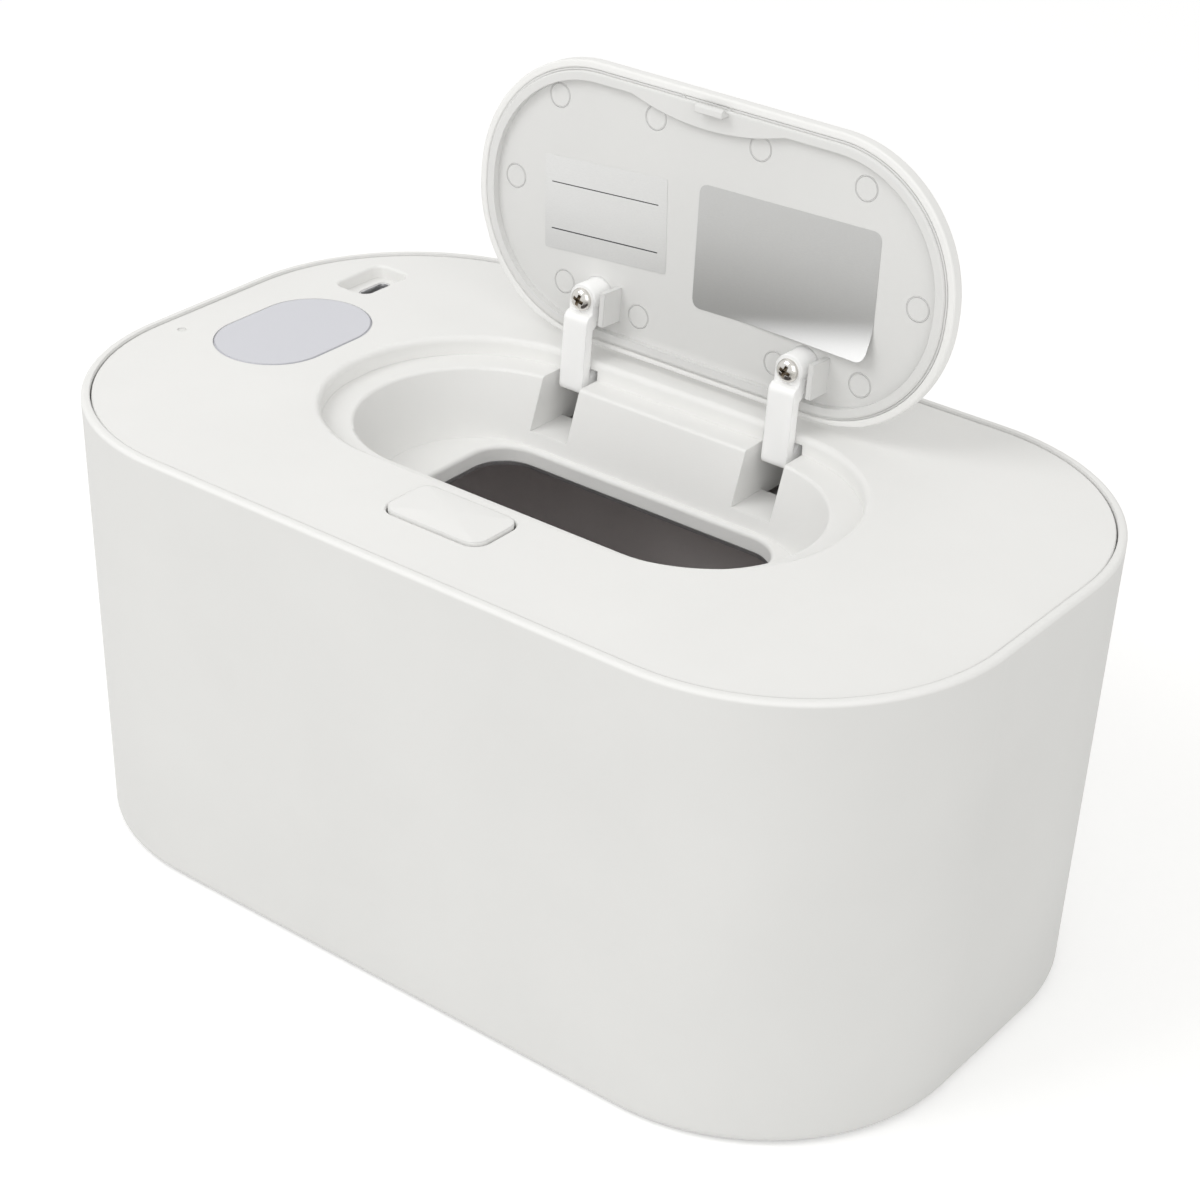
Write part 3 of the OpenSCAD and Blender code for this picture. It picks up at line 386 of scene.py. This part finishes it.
def lathe(profile, n, centre):
    """Closed profile of (radius, height) turned round a point of the closed lid, heights going down."""
    verts, faces = [], []
    m = len(profile)
    for i in range(n):
        for r, h in profile:
            x, y = turned(r, 0, 360 * i / n, centre)
            verts.append(opened((x, y, centre[2] - h)))
    for i in range(n):
        for j in range(m):
            a, b = i * m + j, i * m + (j + 1) % m
            c, d = ((i + 1) % n) * m + (j + 1) % m, ((i + 1) % n) * m + j
            faces.append([a, b, c, d])
    return verts, faces


# Labels: the left one lies flat, the right one has a corner that has lifted

def flat_lift(u, v):
    return 0.0


def corner_lift(u, v):
    """Height of the film: its corner at the lid's hinge side and +X end stands towards the viewer."""
    past = (u - FOLD_U) * FOLD_PER_U + (v - 1) * FOLD_PER_V + FOLD_EARLY
    return 0.0 if past <= 0 else FOLD_SLOPE * (math.hypot(past, FOLD_ROUND) - FOLD_ROUND)


def label_sheet(name, at, size, turn, r, lift, mat, nodes):
    l, w = size
    nu, nv = 48, 28

    def place(u, v, front):
        x, y = (u - 0.5) * l, (v - 0.5) * w
        qx, qy = l / 2 - r, w / 2 - r
        if abs(x) > qx and abs(y) > qy:
            dx, dy = abs(x) - qx, abs(y) - qy
            k = max(dx, dy) / math.hypot(dx, dy)
            x = math.copysign(qx + dx * k, x)
            y = math.copysign(qy + dy * k, y)
        h = lift(x / l + 0.5, y / w + 0.5)
        return opened((*turned(x, y, turn, at), PANEL_Z - FILM_GAP - h - (FILM_T if front else 0.0)))

    def grid(side, i, j):
        return (side * (nu + 1) + i) * (nv + 1) + j

    verts = [place(i / nu, j / nv, side == 0)
             for side in (0, 1) for i in range(nu + 1) for j in range(nv + 1)]
    faces = []
    for side in (0, 1):
        for i in range(nu):
            for j in range(nv):
                q = [grid(side, i, j), grid(side, i + 1, j), grid(side, i + 1, j + 1), grid(side, i, j + 1)]
                faces.append(q if side == 1 else q[::-1])
    for i in range(nu):
        faces.append([grid(0, i, 0), grid(0, i + 1, 0), grid(1, i + 1, 0), grid(1, i, 0)])
        faces.append([grid(1, i, nv), grid(1, i + 1, nv), grid(0, i + 1, nv), grid(0, i, nv)])
    for j in range(nv):
        faces.append([grid(1, 0, j), grid(1, 0, j + 1), grid(0, 0, j + 1), grid(0, 0, j)])
        faces.append([grid(0, nu, j), grid(0, nu, j + 1), grid(1, nu, j + 1), grid(1, nu, j)])
    ob = piece(name, (verts, faces), mat, "lid")
    sharpen(ob.data, 30)
    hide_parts(*nodes)


label_sheet("label_left_film", LEFT_AT, LEFT_SIZE, LEFT_TURN, LEFT_CORNER, flat_lift, M["label_left"],
            ["label_left"])
label_sheet("label_right_film", RIGHT_AT, RIGHT_SIZE, RIGHT_TURN, RIGHT_CORNER, corner_lift,
            M["label_right"], ["label_right"])


# Marks left by the mould's ejector pins on the lid's panel, as low rings

def ejector_mark(x, y):
    half = MARK_W / 2
    low_h = MARK_H * 2 / 3
    ring = [(MARK_R - MARK_W, -MARK_SINK), (MARK_R - half, low_h), (MARK_R, MARK_H),
            (MARK_R + half, low_h), (MARK_R + MARK_W, -MARK_SINK)]
    return lathe(ring, 64, (x, y, PANEL_Z))


rings = piece("panel_ejector_marks", joined(ejector_mark(x, y) for x, y in MARKS_AT), M["liner"], "lid")
sharpen(rings.data, 40)


# Small blocks across the groove beside the hook

def soft_block(x0, x1, y0, y1, z0, z1, r):
    """A block of the closed lid with rounded upright edges and a chamfered lower rim."""
    cx, cy = (x0 + x1) / 2, (y0 + y1) / 2
    outer = rounded(x1 - x0, y1 - y0, r, 5)
    inner = rounded(x1 - x0 - r, y1 - y0 - r, r / 2, 5)
    loops = [(outer, z1), (outer, z0 + r / 2), (inner, z0)]
    verts = [opened((cx + px, cy + py, z)) for pts, z in loops for px, py in pts]
    n = len(outer)
    ends = [list(range(2 * n, 3 * n))[::-1], list(range(n))]
    return verts, walls(n, 3, False) + ends


blocks = [soft_block(x - RIB_W / 2, x + RIB_W / 2, *RIB_Y, *RIB_Z, RIB_ROUND) for x in RIBS_X]
stops = piece("lid_groove_ribs", joined(blocks), M["liner"], "lid", smooth=False)


# Ruled lines of the left label, with no words between them

def rule(x0, x1, y, w):
    verts = []
    for z in (PANEL_Z - FILM_GAP - FILM_T, PANEL_Z - FILM_GAP - FILM_T - INK_T):
        for px, py in ((x0, y - w / 2), (x1, y - w / 2), (x1, y + w / 2), (x0, y + w / 2)):
            verts.append(opened((*turned(px, py, RULES_TURN, LEFT_AT), z)))
    sides = [[i, 4 + i, 4 + (i + 1) % 4, (i + 1) % 4] for i in range(4)]
    return verts, [[0, 1, 2, 3], [7, 6, 5, 4]] + sides


ruled = piece("label_left_rules", joined(rule(*row) for row in RULES), M["ink"], "lid", smooth=False)


# Round bosses behind the arms' heads, from the screw's seat back to the lid's panel

def boss_drum(name, x):
    reach = PANEL_Z - SCREW_Z
    profile = [(0.4, 0.0), (BOSS_R - 0.5, 0.0), (BOSS_R - 0.23, 0.05), (BOSS_R - 0.07, 0.2), (BOSS_R, 0.5),
               (BOSS_R + 0.05, reach - 0.3), (BOSS_R + 0.35, reach + SINK), (0.4, reach + SINK)]
    verts, faces = lathe([(r, -h) for r, h in profile], 72, (x, BOSS_Y, SCREW_Z - 0.01))
    ob = piece(name, (verts, [f[::-1] for f in faces]), M["arm"], "lid")
    sharpen(ob.data, 40)


boss_drum("arm_boss_left", WELL_X - ARM_X)
boss_drum("arm_boss_right", WELL_X + ARM_X)


# The bottom of the groove between the lid's two rims, a little higher than the step under it

def groove_band(name, outer_in, inner_in, z0, z1):
    loops = [(outer_in, z0), (inner_in, z0), (inner_in, z1), (outer_in, z1)]
    verts = [opened((WELL_X + x, WELL_Y + y, z)) for inset, z in loops
             for x, y in rounded(LID_L - 2 * inset, LID_W - 2 * inset, LID_R - inset, 48)]
    ob = piece(name, (verts, walls(len(verts) // 4, 4, True)), M["liner"], "lid")
    sharpen(ob.data, 40)


groove_band("lid_groove_band", LID_RIM + SINK, LID_RIM + GROOVE_W - SINK,
            GROOVE_Z - BAND_RISE, GROOVE_Z + SINK)


# Pan-head screws with a cross recess

HEAD = [(0.55, 1.50), (1.1, 1.42), (1.6, 1.28), (2.05, 1.04),
        (2.38, 0.72), (2.55, 0.38), (2.6, 0.12), (2.56, 0.0)]
HEAD_TOP, SHANK_R, SHANK_END = 1.52, 1.2, -5.8
RECESS = ((1.7, 1.62, 0.46), (0.55, 0.75, 0.26))


def screw_shape():
    """A pan head and its shank, turned about Z."""
    n = 64
    profile = HEAD + [(SHANK_R, 0.0), (SHANK_R, SHANK_END)]
    m = len(profile)
    verts = [(0, 0, HEAD_TOP), (0, 0, SHANK_END)]
    faces = []
    for i in range(n):
        verts += [(*turned(r, 0, 360 * i / n), h) for r, h in profile]
    for i in range(n):
        k, q = 2 + i * m, 2 + ((i + 1) % n) * m
        faces.append([0, k, q])
        faces += [[k + j, k + j + 1, q + j + 1, q + j] for j in range(m - 1)]
        faces.append([k + m - 1, 1, q + m - 1])
    return verts, faces


def recess_wedge(turn):
    """One of the two tapered wedges of the cross, as (height, half length, half width) at both ends."""
    verts = [(*turned(sx * l, sy * w, turn), h) for h, l, w in RECESS
             for sx, sy in ((-1, -1), (1, -1), (1, 1), (-1, 1))]
    sides = [[(i + 1) % 4, i, 4 + i, 4 + (i + 1) % 4] for i in range(4)]
    return verts, [[0, 1, 2, 3], [7, 6, 5, 4]] + sides


def loose_mesh(name, shape, *mats):
    mesh = bpy.data.meshes.new(name)
    mesh.from_pydata(shape[0], [], shape[1])
    for mat in mats:
        mesh.materials.append(mat)
    face_outward(mesh)
    return mesh


def screw(name, x, node):
    # The cross recess takes the darker recess material, a painted shade.
    body = placed(name, loose_mesh(name, screw_shape(), M["screw"], M["recess"]))
    cross = joined(recess_wedge(HEAD_TURN + turn) for turn in (0, 90))
    cutter = placed(name + "_cut", loose_mesh(name + "_cut", cross, M["recess"]))
    mod = body.modifiers.new("recess", "BOOLEAN")
    mod.operation, mod.object, mod.solver = "DIFFERENCE", cutter, "EXACT"
    mod.use_self = True
    mod.material_mode = "TRANSFER"
    done = bpy.data.meshes.new_from_object(body.evaluated_get(bpy.context.evaluated_depsgraph_get()))
    body.modifiers.clear()
    bpy.data.objects.remove(cutter)
    for v in done.vertices:
        p = opened((x + v.co.x, BOSS_Y + v.co.y, SCREW_Z - v.co.z))
        v.co = [c * MM for c in p]
    done.flip_normals()
    for f in done.polygons:
        f.use_smooth = True
    sharpen(done, 32)
    body.data = done
    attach(body, "lid")
    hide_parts(node)


screw("lid_screw_left_pan", WELL_X - ARM_X, "lid_screw_left")
screw("lid_screw_right_pan", WELL_X + ARM_X, "lid_screw_right")


# The spring under the button, as a coil with a mesh of its own

coil = placed("button_spring_coil", NODES["button_spring"].data.copy())
coil.matrix_world = NODES["button_spring"].matrix_world.copy()
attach(coil, "cover")
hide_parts("button_spring")
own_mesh(coil)


# Floor, light and camera, in metres

FLOOR_HALF, FLOOR_LIFT, FLOOR_FADE = 3, 0.26, (0.35, 0.9)
EVEN_TINT, EVEN_LIGHT = (1.0, 0.995, 0.975, 1), 0.69
AZ, EL, ROLL = math.radians(36.72), math.radians(29.72), math.radians(2.28)
DIST, TARGET = 0.63144, Vector((-0.02025, 0.03387, 0.04322))
LENS, SENSOR = 82.55, 36.0


def shown(tree):
    """1 for rays that show the background: seen directly, in a reflection or through something clear."""
    path = shader(tree, "LightPath", {})
    total = path.outputs["Is Camera Ray"]
    for kind in ("Is Glossy Ray", "Is Transmission Ray"):
        add = shader(tree, "Math", {0: total, 1: path.outputs[kind]}, operation="ADD", use_clamp=True)
        total = add.outputs["Value"]
    return total


def either(tree, share, first, second):
    return shader(tree, "MixShader", {"Fac": share, 1: first, 2: second}).outputs["Shader"]


def floor_material():
    """A pale floor that keeps shadows near the object and is plain white further away."""
    mat, tree, bsdf = clear_material("floor_pale")
    connect(tree, bsdf, {"Base Color": (0.9, 0.9, 0.9, 1), "Roughness": 0.9, "Specular IOR Level": 0.1})
    plain = bsdf.outputs["BSDF"]
    lift = shader(tree, "Emission", {"Strength": FLOOR_LIFT}).outputs["Emission"]
    white = shader(tree, "Emission", {}).outputs["Emission"]
    lifted = shader(tree, "AddShader", {0: plain, 1: lift}).outputs["Shader"]
    reach = shader(tree, "VectorMath", {0: object_coords(tree)}, operation="LENGTH").outputs["Value"]
    seen = either(tree, smooth_step(tree, reach, *FLOOR_FADE), lifted, white)
    connect(tree, tree.get_output_node("ALL"), {"Surface": either(tree, shown(tree), plain, seen)})
    return mat


mesh = bpy.data.meshes.new("floor")
mesh.from_pydata([(x * FLOOR_HALF, y * FLOOR_HALF, 0) for x, y in ((-1, -1), (1, -1), (1, 1), (-1, 1))], [],
                 [[0, 1, 2, 3]])
mesh.materials.append(floor_material())
floor = placed("floor", mesh)

world = bpy.data.worlds.new("studio")
bpy.context.scene.world = world
world.use_nodes = True
sky = world.node_tree
sky.nodes.clear()
even = shader(sky, "Background", {"Color": EVEN_TINT, "Strength": EVEN_LIGHT}).outputs["Background"]
seen = shader(sky, "Background", {"Color": (1, 1, 1, 1), "Strength": 1.0}).outputs["Background"]
shader(sky, "OutputWorld", {"Surface": either(sky, shown(sky), even, seen)})


def softbox(name, at, aim, size, watts):
    data = bpy.data.lights.new(name, "AREA")
    data.shape = "RECTANGLE"
    data.size, data.size_y = size
    data.energy = watts
    ob = placed(name, data)
    ob.location = at
    ob.rotation_mode = "QUATERNION"
    ob.rotation_quaternion = (Vector(aim) - Vector(at)).to_track_quat("-Z", "Y")


softbox("key", (-0.40, -0.60, 0.85), (0, 0, 0.09), (0.6, 0.6), 3.2)
softbox("fill", (1.10, -0.95, 0.80), (0, 0, 0.09), (1.3, 1.3), 5.8)
softbox("top", (-0.3, 0.25, 1.0), (0, 0, 0.08), (1.0, 0.8), 0.4)

cam_data = bpy.data.cameras.new("camera")
camera = placed("camera", cam_data)
bpy.context.scene.camera = camera
back = Vector((math.sin(AZ) * math.cos(EL), -math.cos(AZ) * math.cos(EL), math.sin(EL)))
level = Vector((math.cos(AZ), math.sin(AZ), 0))
up = back.cross(level)
right = math.cos(ROLL) * level + math.sin(ROLL) * up
up = -math.sin(ROLL) * level + math.cos(ROLL) * up
rot = Matrix((right, up, back)).transposed()
camera.matrix_world = Matrix.Translation(TARGET + back * DIST) @ rot.to_4x4()
cam_data.sensor_width = SENSOR
cam_data.lens = LENS
cam_data.clip_start, cam_data.clip_end = 0.02, 20.0
bpy.context.scene.view_settings.view_transform = "Standard"
